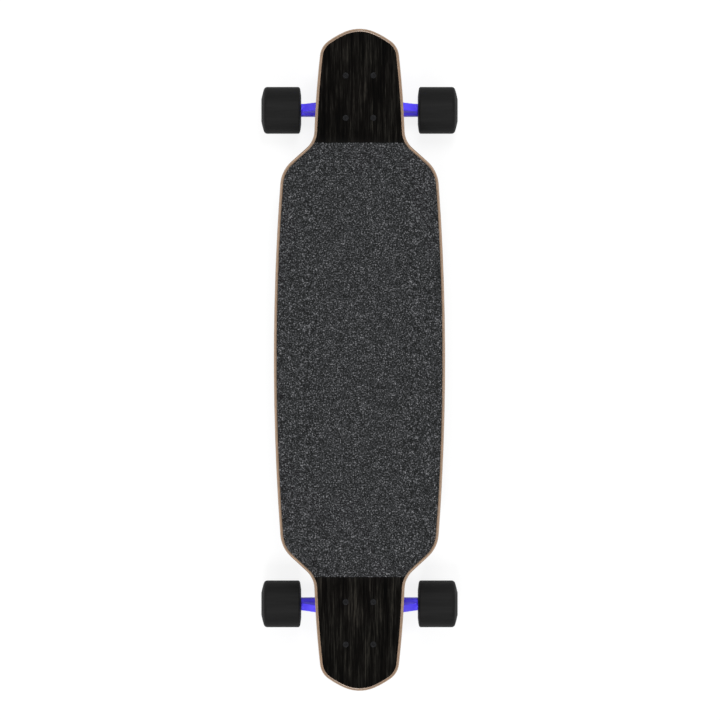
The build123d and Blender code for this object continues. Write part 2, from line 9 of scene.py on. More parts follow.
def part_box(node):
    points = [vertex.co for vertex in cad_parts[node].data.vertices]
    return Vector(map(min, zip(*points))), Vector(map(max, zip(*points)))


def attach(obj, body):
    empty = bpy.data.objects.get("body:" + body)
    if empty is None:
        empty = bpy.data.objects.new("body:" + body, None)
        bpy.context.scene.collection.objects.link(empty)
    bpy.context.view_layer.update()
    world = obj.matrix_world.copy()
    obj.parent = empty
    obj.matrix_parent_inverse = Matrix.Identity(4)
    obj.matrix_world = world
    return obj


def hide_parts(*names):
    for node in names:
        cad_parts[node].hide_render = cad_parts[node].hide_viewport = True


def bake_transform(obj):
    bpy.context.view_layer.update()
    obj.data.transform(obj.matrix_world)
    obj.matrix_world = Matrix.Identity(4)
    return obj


# A longboard skateboard seen from straight above, in metres.
# X runs across the board, Y points to the nose and Z is up.
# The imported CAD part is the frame, and each piece below is dressed on it.

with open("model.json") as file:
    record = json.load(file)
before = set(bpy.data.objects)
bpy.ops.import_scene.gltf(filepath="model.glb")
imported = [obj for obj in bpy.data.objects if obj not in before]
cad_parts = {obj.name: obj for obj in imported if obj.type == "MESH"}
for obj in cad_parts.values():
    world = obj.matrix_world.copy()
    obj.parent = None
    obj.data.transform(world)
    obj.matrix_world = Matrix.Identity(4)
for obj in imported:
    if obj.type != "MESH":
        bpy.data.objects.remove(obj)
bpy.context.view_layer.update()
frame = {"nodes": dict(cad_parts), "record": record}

MM = 0.001

# The photograph: its size, its scale, where the deck's centre lies in it, and how far its camera
# leans back towards the nose
photo_pixels = 720
metres_per_pixel = 1.4945 * MM
deck_centre_pixel = (359.0, 359.4)
camera_lean = math.radians(3.2)
camera_distance = 3.0

# Turned pieces: their steps round, the steps of a rounded corner, and the angle past which an
# edge stays sharp
fine_turn = 128
small_turn = 64
hexagon_turn = 60
thread_turn = 32
round_steps = 4
sharp_angle = math.radians(32)

# Points closer than this are one point
merge_distance = 0.002 * MM

# Roundings, from the thinnest rings up to the ends of rods
hair_round = 0.1 * MM
thin_round = 0.15 * MM
bore_round = 0.2 * MM
rim_round = 0.3 * MM
ring_round = 0.4 * MM
bend_round = 0.5 * MM
end_round = 0.6 * MM

# Kingpin stack, by the distance from the middle of the hanger's ring
ring_half = 4.0 * MM
cup_washer_thickness = 1.5 * MM
cup_washer_rim = 2.2 * MM
cup_washer_wall = 1.0 * MM
cup_washer_radius = 13.4 * MM
small_washer_radius = 11.4 * MM
washer_bore_gap = 0.05 * MM
kingpin_radius = 4.76 * MM
kingpin_seat_wall = 9.3 * MM
kingpin_head_height = 6.0 * MM
kingpin_nut_height = 8.0 * MM
kingpin_end_past_nut = 2.5 * MM
kingpin_flats = 14.3 * MM
kingpin_head_inset = 0.4 * MM
kingpin_overlap = 1.0 * MM

# Bushings: a collar at the ring, then a wall that tapers to the washer. Edges longer than the last
# size are cut into shorter ones.
bushing_height = 14.2 * MM
bushing_radius = 12.3 * MM
cone_radius = 9.6 * MM
bushing_mouth_radius = 6.4 * MM
bushing_bore_gap = 0.25 * MM
bushing_collar = 4.2 * MM
bushing_inset = 0.1 * MM
bushing_round = 1.2 * MM
bushing_collar_round = 1.5 * MM
bushing_bend_cuts = 10
bushing_long_edge = 4 * MM

washer_seat = ring_half + bushing_height + cup_washer_thickness
kingpin_head_end = -washer_seat - kingpin_seat_wall
kingpin_head_start = kingpin_head_end - kingpin_head_height
kingpin_end = washer_seat + kingpin_nut_height + kingpin_end_past_nut

# Pivot cup, by the distance along the steering axis from the same point
cup_mouth = 52.0 * MM
cup_centre = 55.0 * MM
cup_inner_radius = 5.06 * MM
cup_outer_radius = 8.06 * MM
cup_steps = 12

# Axle hardware and bearings
axle_radius = 4.0 * MM
axle_bore_gap = 0.01 * MM
axle_nut_flats = 13.0 * MM
spacer_radius = 5.2 * MM
bearing_width = 7.0 * MM
bearing_radius = 11.0 * MM
inner_ring_radius = 6.0 * MM
outer_ring_bore = 9.3 * MM
shield_inset = 0.3 * MM
shield_thickness = 0.4 * MM
shield_gap = 0.15 * MM
speed_washer_radius = 5.6 * MM
speed_washer_thickness = 1.0 * MM

# Truck bolts; the last two find the rim of a head by its depth and its share of the radius
bolt_radius = 2.4 * MM
bolt_head_radius = 4.6 * MM
bolt_head_round = 0.35 * MM
bolt_head_round_steps = 3
bolt_nut_flats = 9.5 * MM
bolt_nut_height = 5.6 * MM
bolt_overlap = 0.1 * MM
bolt_rim_depth = 0.05 * MM
bolt_rim_share = 0.9

# Lock nuts: chamfered faces, a rolled collar and the nylon ring in it, which grips the thread
nut_face_inset = 0.3 * MM
nut_chamfer = math.radians(30)
nut_collar = 1.4 * MM
nut_collar_foot = 0.5 * nut_collar
nut_collar_inset = 0.7 * MM
nut_thread_gap = 0.02 * MM
nylon_grip = 0.1 * MM
nylon_reach = 1.1 * MM
nylon_depth = 0.6 * MM
nylon_stand = 0.05 * MM

# Threads: the pitch on axles and kingpins, and on truck bolts, and how far from a rod's end each
# kind stops
coarse_pitch = 1.06 * MM
fine_pitch = 0.79 * MM
thread_run_out = 0.2 * MM
bolt_run_out = 0.1 * MM

# A thread's section, in shares of its pitch: the depth of the rod's surface and of the ridge's
# foot, and the places of the ridge's four corners
thread_root_share = 0.6
thread_foot_share = 0.75
thread_foot_places = (0.05, 0.95)
thread_crest_places = (0.42, 0.58)

# Skin of a casting: the size of its softened details, and how they are relaxed
cast_detail = 0.8 * MM
cast_softness = 0.5
cast_passes = 4

# Wheels, by the distance from a wheel's inner face
wheel_radius = 35.0 * MM
wheel_width = 59.8 * MM
core_start = 5.5 * MM
core_end = 32.5 * MM
core_radius = 18.5 * MM
inner_dish_radius = 16.6 * MM
inner_lip_radius = 19.8 * MM
outer_dish_radius = 13.2 * MM
outer_lip_radius = 15.1 * MM
lip_height = 0.8 * MM
tread_start = 3.8 * MM
tread_start_round = 0.8 * MM
tread_from_outer = 7.6 * MM
tread_end_round = 1.5 * MM
crown_inset = 1.4 * MM
crown_height = 7.4 * MM
crown_round = 3.0 * MM

# Bends of the two shoulders: distance from the inner face, or from the tread's end, then the drop
# below the tread and the corner rounding
inner_shoulder = [(1.3 * MM, 4.5 * MM, 1.2 * MM), (2.1 * MM, 1.4 * MM, 1.2 * MM)]
outer_shoulder = [(2.8 * MM, 1.7 * MM, 1.5 * MM), (4.05 * MM, 4.6 * MM, 1.6 * MM)]

ends = {"front": 1, "rear": -1}
sides = {"left": -1, "right": 1}

# Stage: half the floor's width, how much of the background glows by itself, and the daylight
floor_half_width = 12
floor_glow = 0.85
sky_strength = 0.65

# Softboxes: place and width in metres, and power in watts
softboxes = {
    "nose_softbox": ((0.2, 1.5, 2.2), 0.8, 39),
    "tail_softbox": ((-0.2, -1.7, 2.1), 0.8, 39),
    "left_softbox": ((-1.9, 0.3, 1.9), 1.2, 14),
    "right_softbox": ((1.9, -0.3, 1.9), 1.2, 14),
}


def body_of(node):
    """The body that carries a CAD node."""
    for body, nodes in frame["record"]["behaviour"]["bodies"].items():
        if node in nodes:
            return body


def truck_axes(end):
    """The middle of a hanger's ring, the direction to its pivot, and the kingpin's direction."""
    for joint in frame["record"]["behaviour"]["joints"]:
        if joint["name"] == f"{end}_steer":
            axis = Vector(joint["axis"])
            kingpin = Vector((0, ends[end] * axis.z, -ends[end] * axis.y))
            return Vector(joint["pos_m"]), -axis, kingpin


# Colours and nodes


def linear(hex_colour):
    """An sRGB hex colour as linear red, green, blue and alpha."""
    colour = []
    for place in (1, 3, 5):
        value = int(hex_colour[place : place + 2], 16) / 255
        colour.append(value / 12.92 if value <= 0.04045 else ((value + 0.055) / 1.055) ** 2.4)
    return (*colour, 1.0)


def add_node(tree, kind, links=None, ramp=None, **settings):
    """Adds a node with its settings; links gives each input a value or the output that feeds it."""
    node = tree.nodes.new(kind)
    for name, value in settings.items():
        setattr(node, name, value)
    for name, value in (links or {}).items():
        if isinstance(value, bpy.types.NodeSocket):
            tree.links.new(value, node.inputs[name])
        else:
            node.inputs[name].default_value = value
    if ramp:
        stops = node.color_ramp.elements
        while len(stops) < len(ramp):
            stops.new(1.0)
        for stop, (place, colour) in zip(stops, ramp):
            stop.position = place
            stop.color = linear(colour)
    return node


def new_material(name):
    """An empty material and its node tree."""
    material = bpy.data.materials.new(name)
    material.use_nodes = True
    material.node_tree.nodes.clear()
    return material, material.node_tree


def finished(tree, colour, roughness, bump=None, **shader):
    """Adds the shader and the output; each further value is set on the shader's own socket."""
    links = {"Base Color": colour, "Roughness": roughness}
    if bump:
        links["Normal"] = bump
    for name, value in shader.items():
        links[name.replace("_", " ")] = value
    surface = add_node(tree, "ShaderNodeBsdfPrincipled", links)
    add_node(tree, "ShaderNodeOutputMaterial", {"Surface": surface.outputs["BSDF"]})


def pattern_place(tree, size=(1, 1, 1)):
    """Object coordinates, counted in a pattern's size along each axis."""
    place = add_node(tree, "ShaderNodeTexCoord")
    scale = tuple(1 / length for length in size)
    links = {"Vector": place.outputs["Object"], "Scale": scale}
    return add_node(tree, "ShaderNodeMapping", links).outputs["Vector"]


def background_share(tree):
    """1 for rays that show the background to the camera, a mirror or glass, and 0 for the rest."""
    path = add_node(tree, "ShaderNodeLightPath")
    mirrored = add_node(
        tree,
        "ShaderNodeMath",
        {0: path.outputs["Is Camera Ray"], 1: path.outputs["Is Glossy Ray"]},
        operation="ADD",
    )
    seen = add_node(
        tree,
        "ShaderNodeMath",
        {0: mirrored.outputs["Value"], 1: path.outputs["Is Transmission Ray"]},
        operation="ADD",
        use_clamp=True,
    )
    return seen.outputs["Value"]


# Materials


def grip_tape_material():
    """Silicon carbide grit glued to a black backing: matt, rough, with single bright grains."""
    material, tree = new_material("silicon_carbide_grit")
    place = pattern_place(tree)
    # The real grains are 0.3 mm across; they are drawn about 2 mm apart so that they show
    grit_spacing = 2.1 * MM
    cloud_spacing = 9 * MM
    cloud_share = 0.16
    grit_depth = 0.4 * MM
    grains = add_node(
        tree,
        "ShaderNodeTexNoise",
        {"Vector": place, "Scale": 1 / grit_spacing, "Detail": 2.0, "Roughness": 0.7},
    )
    clouds = add_node(
        tree,
        "ShaderNodeTexNoise",
        {"Vector": place, "Scale": 1 / cloud_spacing, "Detail": 2.0, "Roughness": 0.5},
    )
    level = add_node(
        tree,
        "ShaderNodeMath",
        {0: clouds.outputs["Fac"], 1: cloud_share, 2: grains.outputs["Fac"]},
        operation="MULTIPLY_ADD",
    )
    colour = add_node(
        tree,
        "ShaderNodeValToRGB",
        {"Fac": level.outputs["Value"]},
        ramp=[(0.40, "#050506"), (0.55, "#171818"), (0.66, "#303133"), (0.80, "#707072")],
    )
    bump = add_node(
        tree,
        "ShaderNodeBump",
        {"Height": level.outputs["Value"], "Strength": 0.6, "Distance": grit_depth},
    )
    finished(
        tree, colour.outputs["Color"], 0.85, bump.outputs["Normal"], Specular_IOR_Level=0.09
    )
    return material


def stained_maple_material():
    """Black-stained maple under a thin satin lacquer: fine lengthwise pores and paler streaks."""
    material, tree = new_material("black_stained_maple")
    # Maple's figure runs along the board: streaks about 2 mm wide and 60 mm long
    streak_size = (2.2 * MM, 60 * MM, 20 * MM)
    pore_size = (0.9 * MM, 14 * MM, 9 * MM)
    patch_size = (14 * MM, 90 * MM, 30 * MM)
    pore_depth = 0.1 * MM
    pore_share = 0.5
    patch_share = 0.6
    streaks = pattern_place(tree, streak_size)
    pores = pattern_place(tree, pore_size)
    patches = pattern_place(tree, patch_size)
    streak = add_node(
        tree,
        "ShaderNodeTexNoise",
        {"Vector": streaks, "Scale": 1.0, "Detail": 3.0, "Roughness": 0.6},
    )
    pore = add_node(
        tree,
        "ShaderNodeTexNoise",
        {"Vector": pores, "Scale": 1.0, "Detail": 2.0, "Roughness": 0.6},
    )
    patch = add_node(
        tree,
        "ShaderNodeTexNoise",
        {"Vector": patches, "Scale": 1.0, "Detail": 2.0, "Roughness": 0.5},
    )
    figure = add_node(
        tree,
        "ShaderNodeMath",
        {0: pore.outputs["Fac"], 1: pore_share, 2: streak.outputs["Fac"]},
        operation="MULTIPLY_ADD",
    )
    level = add_node(
        tree,
        "ShaderNodeMath",
        {0: patch.outputs["Fac"], 1: patch_share, 2: figure.outputs["Value"]},
        operation="MULTIPLY_ADD",
    )
    spread = add_node(
        tree,
        "ShaderNodeMapRange",
        {"Value": level.outputs["Value"], "From Min": 0.8, "From Max": 1.3},
    )
    colour = add_node(
        tree,
        "ShaderNodeValToRGB",
        {"Fac": spread.outputs["Result"]},
        ramp=[(0.0, "#010101"), (0.45, "#060504"), (0.75, "#11100e"), (1.0, "#22201c")],
    )
    bump = add_node(
        tree,
        "ShaderNodeBump",
        {"Height": pore.outputs["Fac"], "Strength": 0.35, "Distance": pore_depth},
    )
    finished(
        tree, colour.outputs["Color"], 0.28, bump.outputs["Normal"], Specular_IOR_Level=0.02
    )
    return material


def maple_ply_material():
    """Clear-lacquered edge of the pressed maple: seven plies, by turns pale and a shade darker."""
    material, tree = new_material("lacquered_maple_plies")
    two_plies = 2.46 * MM
    fibre_size = (1.5 * MM, 8 * MM, 0.6 * MM)
    fibre_depth = 0.1 * MM
    ply_share = 0.35
    height = add_node(tree, "ShaderNodeAttribute", attribute_name="ply_height")
    fibres = pattern_place(tree, fibre_size)
    fibre = add_node(
        tree,
        "ShaderNodeTexNoise",
        {"Vector": fibres, "Scale": 1.0, "Detail": 3.0, "Roughness": 0.6},
    )
    turn = add_node(
        tree,
        "ShaderNodeMath",
        {0: height.outputs["Fac"], 1: 2 * math.pi / two_plies},
        operation="MULTIPLY",
    )
    wave = add_node(tree, "ShaderNodeMath", {0: turn.outputs["Value"]}, operation="SINE")
    level = add_node(
        tree,
        "ShaderNodeMath",
        {0: wave.outputs["Value"], 1: ply_share, 2: fibre.outputs["Fac"]},
        operation="MULTIPLY_ADD",
    )
    colour = add_node(
        tree,
        "ShaderNodeValToRGB",
        {"Fac": level.outputs["Value"]},
        ramp=[(0.15, "#604c37"), (0.45, "#7c614a"), (0.62, "#8b7059"), (0.9, "#9c8269")],
    )
    bump = add_node(
        tree,
        "ShaderNodeBump",
        {"Height": fibre.outputs["Fac"], "Strength": 0.2, "Distance": fibre_depth},
    )
    finished(
        tree,
        colour.outputs["Color"],
        0.42,
        bump.outputs["Normal"],
        Coat_Weight=0.25,
        Coat_Roughness=0.2,
    )
    return material


def violet_enamel_material():
    """Satin violet enamel baked on cast aluminium: even colour, a faint orange-peel skin."""
    material, tree = new_material("violet_baked_enamel")
    place = pattern_place(tree)
    peel_spacing = 2.5 * MM
    tone_spacing = 18 * MM
    peel_depth = 0.05 * MM
    peel = add_node(
        tree,
        "ShaderNodeTexNoise",
        {"Vector": place, "Scale": 1 / peel_spacing, "Detail": 1.0, "Roughness": 0.4},
    )
    tone = add_node(
        tree, "ShaderNodeTexNoise", {"Vector": place, "Scale": 1 / tone_spacing, "Detail": 2.0}
    )
    colour = add_node(
        tree,
        "ShaderNodeValToRGB",
        {"Fac": tone.outputs["Fac"]},
        ramp=[(0.3, "#5040f2"), (0.7, "#5645f8")],
    )
    bump = add_node(
        tree,
        "ShaderNodeBump",
        {"Height": peel.outputs["Fac"], "Strength": 0.12, "Distance": peel_depth},
    )
    finished(
        tree,
        colour.outputs["Color"],
        0.42,
        bump.outputs["Normal"],
        Specular_IOR_Level=0.3,
        Coat_Weight=0.12,
        Coat_Roughness=0.2,
    )
    return material


def cast_urethane_material(name, dark, light, roughness, line_pitch):
    """Poured satin polyurethane, with faint lines along the axle, a little darker and lighter by
    turns.
    """
    material, tree = new_material(name)
    line_length = 60 * MM
    line_depth = 0.1 * MM
    place = pattern_place(tree, (line_length, line_pitch, line_pitch))
    lines = add_node(
        tree,
        "ShaderNodeTexNoise",
        {"Vector": place, "Scale": 1.0, "Detail": 2.0, "Roughness": 0.5},
    )
    colour = add_node(
        tree,
        "ShaderNodeValToRGB",
        {"Fac": lines.outputs["Fac"]},
        ramp=[(0.35, dark), (0.65, light)],
    )
    bump = add_node(
        tree,
        "ShaderNodeBump",
        {"Height": lines.outputs["Fac"], "Strength": 0.08, "Distance": line_depth},
    )
    finished(
        tree,
        colour.outputs["Color"],
        roughness,
        bump.outputs["Normal"],
        Specular_IOR_Level=0.07,
    )
    return material


def steel_material(name, dark, light, roughness):
    """Bare, plated or blackened metal: fine uneven lustre, and a metal's own reflections."""
    material, tree = new_material(name)
    grain = 3 * MM
    roughness_spread = 0.05
    place = pattern_place(tree, (grain, grain, grain))
    tone = add_node(
        tree,
        "ShaderNodeTexNoise",
        {"Vector": place, "Scale": 1.0, "Detail": 3.0, "Roughness": 0.6},
    )
    colour = add_node(
        tree,
        "ShaderNodeValToRGB",
        {"Fac": tone.outputs["Fac"]},
        ramp=[(0.3, dark), (0.7, light)],
    )
    gloss = add_node(
        tree,
        "ShaderNodeMapRange",
        {
            "Value": tone.outputs["Fac"],
            "To Min": roughness - roughness_spread,
            "To Max": roughness + roughness_spread,
        },
    )
    finished(tree, colour.outputs["Color"], gloss.outputs["Result"], Metallic=1.0)
    return material


def moulded_plastic_material(name, dark, light, roughness):
    """Injection-moulded nylon or rubber with the fine spark-eroded texture of its mould."""
    material, tree = new_material(name)
    place = pattern_place(tree)
    grain_spacing = 0.6 * MM
    grain_depth = 0.05 * MM
    grain = add_node(
        tree,
        "ShaderNodeTexNoise",
        {"Vector": place, "Scale": 1 / grain_spacing, "Detail": 2.0, "Roughness": 0.6},
    )
    colour = add_node(
        tree,
        "ShaderNodeValToRGB",
        {"Fac": grain.outputs["Fac"]},
        ramp=[(0.35, dark), (0.65, light)],
    )
    bump = add_node(
        tree,
        "ShaderNodeBump",
        {"Height": grain.outputs["Fac"], "Strength": 0.2, "Distance": grain_depth},
    )
    finished(tree, colour.outputs["Color"], roughness, bump.outputs["Normal"])
    return material


materials = {
    "grip_tape": grip_tape_material(),
    "black_stained_maple": stained_maple_material(),
    "maple": maple_ply_material(),
    "violet_paint": violet_enamel_material(),
    "wheel_urethane": cast_urethane_material(
        "cast_wheel_urethane", "#0f0f0f", "#131313", 0.6, 2.4 * MM
    ),
    "bushing_urethane": cast_urethane_material(
        "poured_urethane", "#141415", "#1a1a1b", 0.42, 4 * MM
    ),
    "cup_urethane": cast_urethane_material(
        "pivot_cup_urethane", "#131313", "#191919", 0.5, 4 * MM
    ),
    "zinc_steel": steel_material("bright_zinc_plated_steel", "#b4b7ba", "#cfd2d5", 0.3),
    "black_steel": steel_material("black_oxide_steel", "#19191a", "#222223", 0.36),
    "axle_steel": steel_material("ground_steel", "#a3a5a8", "#bbbdc0", 0.27),
    "bearing_steel": steel_material("polished_bearing_steel", "#c3c5c8", "#d6d8da", 0.15),
    "spacer_aluminium": steel_material("turned_aluminium", "#c0c2c4", "#d2d4d6", 0.32),
    "shield_rubber": moulded_plastic_material("nitrile_rubber", "#0e0e0e", "#151515", 0.55),
    "core_plastic": moulded_plastic_material("moulded_black_nylon", "#151516", "#1d1d1e", 0.45),
}


# Meshes


def soften(bm):
    """Smooth shading that breaks at real edges."""
    for face in bm.faces:
        face.smooth = True
    for edge in bm.edges:
        edge.smooth = len(edge.link_faces) == 2 and edge.calc_face_angle(0) < sharp_angle


def add_piece(name, bm, slot, body=None):
    """Turns a bmesh into an object with its material, on a body when one is given."""
    soften(bm)
    mesh = bpy.data.meshes.new(name)
    bm.to_mesh(mesh)
    bm.free()
    piece = bpy.data.objects.new(name, mesh)
    bpy.context.scene.collection.objects.link(piece)
    mesh.materials.append(materials[slot])
    if body:
        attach(piece, body)
    return piece


def finished_piece(node, bm, slot):
    """An object that stands for a CAD node; its flat faces stay flat beside its round ones."""
    piece = add_piece(f"{node}_finished", bm, slot, body_of(node))
    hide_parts(node)
    weighted = piece.modifiers.new("weighted_normals", "WEIGHTED_NORMAL")
    weighted.keep_sharp = True
    return piece


def merged_copy(node):
    """A CAD node's mesh as a bmesh whose faces are joined."""
    bm = bmesh.new()
    bm.from_mesh(frame["nodes"][node].data)
    bmesh.ops.remove_doubles(bm, verts=bm.verts, dist=merge_distance)
    return bm


def dressed_copy(node, slot):
    """A CAD node as it is, joined and smooth."""
    return finished_piece(node, merged_copy(node), slot)


def turned(profile, steps=small_turn):
    """A shape spun about X from points of (place along X, radius, corner rounding)."""
    bm = bmesh.new()
    corners = [bm.verts.new((along, 0, radius)) for along, radius, _ in profile]
    following = corners[1:] + corners[:1] if profile[0][1] else corners[1:]
    for corner, other in zip(corners, following):
        bm.edges.new((corner, other))
    for corner, (_, _, rounding) in zip(corners, profile):
        if rounding:
            bmesh.ops.bevel(
                bm,
                geom=[corner],
                offset=rounding,
                affect="VERTICES",
                segments=round_steps,
                profile=0.5,
                material=-1,
            )
    bmesh.ops.spin(
        bm,
        geom=bm.verts[:] + bm.edges[:],
        cent=(0, 0, 0),
        axis=(1, 0, 0),
        angle=2 * math.pi,
        steps=steps,
        use_merge=True,
    )
    bmesh.ops.remove_doubles(bm, verts=bm.verts, dist=merge_distance)
    bmesh.ops.recalc_face_normals(bm, faces=bm.faces)
    return bm


def ring(inner, outer, start, length, rounding):
    """A plain ring along X with rounded edges."""
    return turned(
        [
            (start, inner, rounding),
            (start, outer, rounding),
            (start + length, outer, rounding),
            (start + length, inner, rounding),
        ]
    )


def arc(centre, radius, first, last):
    """Points of the pivot cup's section on an arc, by angles from the X axis."""
    points = []
    for step in range(cup_steps + 1):
        turn = math.radians(first + (last - first) * step / cup_steps)
        points.append((centre + radius * math.cos(turn), max(radius * math.sin(turn), 0), 0))
    return points


def hexagon(flats, bore, start, length):
    """A hexagon along X with a round bore, both its faces chamfered towards the corners."""
    bm = bmesh.new()
    face_radius = flats / 2 - nut_face_inset
    slope = math.tan(nut_chamfer)
    upright = Matrix.Rotation(math.pi / 2, 4, "Y")
    loops = []
    for place, inward in ((start, 1), (start + length, -1)):
        rows = [(bore, 0), (face_radius, 0), (None, inward)]
        for radius, inset in rows if inward > 0 else reversed(rows):
            circle = bmesh.ops.create_circle(bm, segments=hexagon_turn, radius=1, matrix=upright)
            for vertex in circle["verts"]:
                turn = math.atan2(vertex.co.y, vertex.co.z) % (math.pi / 3) - math.pi / 6
                reach = radius or flats / 2 / math.cos(turn)
                vertex.co.yz *= reach
                vertex.co.x = place + inset * slope * (reach - face_radius)
            loops.append(list({edge for vertex in circle["verts"] for edge in vertex.link_edges}))
    for loop, other in zip(loops, loops[1:] + loops[:1]):
        bmesh.ops.bridge_loops(bm, edges=loop + other)
    bmesh.ops.recalc_face_normals(bm, faces=bm.faces)
    return bm


def thread(radius, pitch, start, length):
    """The ridge of a screw thread wound along X, to lie on a rod a little thinner than it."""
    bm = bmesh.new()
    foot = radius - thread_foot_share * pitch
    foot_start, foot_end = (start + place * pitch for place in thread_foot_places)
    crest_start, crest_end = (start + place * pitch for place in thread_crest_places)
    section = (foot_start, foot), (crest_start, radius), (crest_end, radius), (foot_end, foot)
    face = bm.faces.new([bm.verts.new((along, 0, reach)) for along, reach in section])
    turns = length / pitch - 1
    steps = round(turns * thread_turn)
    bmesh.ops.spin(
        bm,
        geom=[face],
        cent=(0, 0, 0),
        axis=(1, 0, 0),
        dvec=(turns * pitch / steps, 0, 0),
        angle=turns * 2 * math.pi,
        steps=steps,
    )
    bmesh.ops.recalc_face_normals(bm, faces=bm.faces)
    return bm


def placed(bm, centre, axis):
    """Turns a shape made along X to an axis, with its start at a centre."""
    turn = Vector((1, 0, 0)).rotation_difference(Vector(axis)).to_matrix().to_4x4()
    bmesh.ops.transform(bm, matrix=Matrix.Translation(centre) @ turn, verts=bm.verts)
    return bm


def gathered(shapes):
    """Several shapes as one bmesh."""
    whole = bmesh.new()
    for shape in shapes:
        mesh = bpy.data.meshes.new("shape")
        shape.to_mesh(mesh)
        shape.free()
        whole.from_mesh(mesh)
        bpy.data.meshes.remove(mesh)
    return whole


def lock_nut(flats, bolt, start, length):
    """A hexagon lock nut along X for a bolt's radius, with its rolled collar at the far end."""
    bore = bolt + nut_thread_gap
    collar_length = nut_collar + nut_collar_foot
    return [
        hexagon(flats, bore, start, length - nut_collar),
        ring(
            bore,
            flats / 2 - nut_collar_inset,
            start + length - collar_length,
            collar_length,
            bend_round,
        ),
    ]


def nylon_ring(bolt, end):
    """The nylon ring that grips the thread of a bolt, in a lock nut that ends at a place on X."""
    length = nylon_depth + nylon_stand
    return ring(bolt - nylon_grip, bolt + nylon_reach, end - nylon_depth, length, hair_round)


# Deck


def ply_heights(piece):
    """Stores on each point of the core its height above the underside of the pressed sheet."""
    underside = bmesh.new()
    underside.from_mesh(frame["nodes"]["deck_bottom_veneer"].data)
    upper = [face for face in underside.faces if face.normal.z > -0.5]
    bmesh.ops.delete(underside, geom=upper, context="FACES")
    tree = BVHTree.FromBMesh(underside)
    underside.free()
    heights = piece.data.attributes.new("ply_height", "FLOAT", "POINT")
    for vertex in piece.data.vertices:
        nearest, normal, _, _ = tree.find_nearest(vertex.co)
        heights.data[vertex.index].value = -(vertex.co - nearest).dot(normal)


def dress_deck():
    """Maple core with its plies, the two stained face veneers and the grip tape."""
    ply_heights(dressed_copy("deck_core", "maple"))
    dressed_copy("deck_top_veneer", "black_stained_maple")
    dressed_copy("deck_bottom_veneer", "black_stained_maple")
    dressed_copy("grip_tape", "grip_tape")


# Trucks


def cast_piece(node):
    """An enamelled casting: a copy of the solid with the soft edges and corners of its mould."""
    piece = finished_piece(node, merged_copy(node), "violet_paint")
    skin = piece.modifiers.new("cast_skin", "REMESH")
    skin.mode = "VOXEL"
    skin.voxel_size = cast_detail
    skin.use_smooth_shade = True
    relaxed = piece.modifiers.new("cast_softness", "SMOOTH")
    relaxed.factor = cast_softness
    relaxed.iterations = cast_passes


def dress_pivot_cup(end):
    """The urethane cup that the hanger's nose turns in, a closed half ball with a rolled lip."""
    middle, pivot, _ = truck_axes(end)
    profile = arc(cup_centre, cup_inner_radius, 0, 90)
    profile += [(cup_mouth, cup_inner_radius, ring_round), (cup_mouth, cup_outer_radius, end_round)]
    profile += arc(cup_centre, cup_outer_radius, 90, 0)
    finished_piece(f"{end}_pivot_cup", placed(turned(profile), middle, pivot), "cup_urethane")


def dress_bushing(end, name, side, top_radius):
    """A bushing from the hanger's ring to its washer on the kingpin's line, its long edges cut."""
    middle, _, kingpin = truck_axes(end)
    low, high = ring_half, ring_half + bushing_height
    profile = [
        (low, bushing_mouth_radius, rim_round),
        (low, bushing_radius - 2 * bushing_inset, bushing_round),
        (low + bushing_collar, bushing_radius - bushing_inset, bushing_collar_round),
        (high, top_radius - bushing_inset, bushing_round),
        (high, kingpin_radius + bushing_bore_gap, rim_round),
    ]
    bm = placed(turned(profile), middle, side * kingpin)
    long_edges = [
        edge
        for edge in bm.edges
        if abs((edge.verts[0].co - edge.verts[1].co).dot(kingpin)) > bushing_long_edge
    ]
    bmesh.ops.subdivide_edges(bm, edges=long_edges, cuts=bushing_bend_cuts, use_grid_fill=True)
    node = f"{end}_{name}_bushing"
    piece = add_piece(f"{node}_finished", bm, "bushing_urethane")
    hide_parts(node)
    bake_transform(piece)


def cup_washer(radius, side):
    """Section of a pressed cup washer; side is 1 above the nut and -1 under the baseplate."""
    inner = radius - cup_washer_wall
    bore = kingpin_radius + washer_bore_gap
    rim = washer_seat - cup_washer_rim
    floor = washer_seat - cup_washer_thickness
    profile = [
        (washer_seat, bore, bore_round),
        (washer_seat, inner, bend_round),
        (washer_seat - cup_washer_wall, radius, bend_round),
        (rim, radius, rim_round),
        (rim, inner, rim_round),
        (floor, inner, rim_round),
        (floor, bore, bore_round),
    ]
    return [(side * along, reach, rounding) for along, reach, rounding in profile]


def kingpin_shapes():
    """The kingpin along X: shank, hexagon head with its filled middle, and thread."""
    root = kingpin_radius - thread_root_share * coarse_pitch
    shank_start = kingpin_head_start + kingpin_overlap
    shank = [
        (shank_start, 0, 0),
        (shank_start, kingpin_radius, 0),
        (washer_seat, kingpin_radius, bore_round),
        (washer_seat, root, 0),
        (kingpin_end, root, end_round),
        (kingpin_end, 0, 0),
    ]
    plug_start = kingpin_head_start + kingpin_head_inset
    plug_end = kingpin_head_end - kingpin_head_inset
    plug = [
        (plug_start, 0, 0),
        (plug_start, kingpin_radius, 0),
        (plug_end, kingpin_radius, 0),
        (plug_end, 0, 0),
    ]
    thread_length = kingpin_end - washer_seat - thread_run_out
    return [
        turned(shank),
        hexagon(kingpin_flats, kingpin_radius / 2, kingpin_head_start, kingpin_head_height),
        turned(plug),
        thread(kingpin_radius, coarse_pitch, washer_seat, thread_length),
    ]


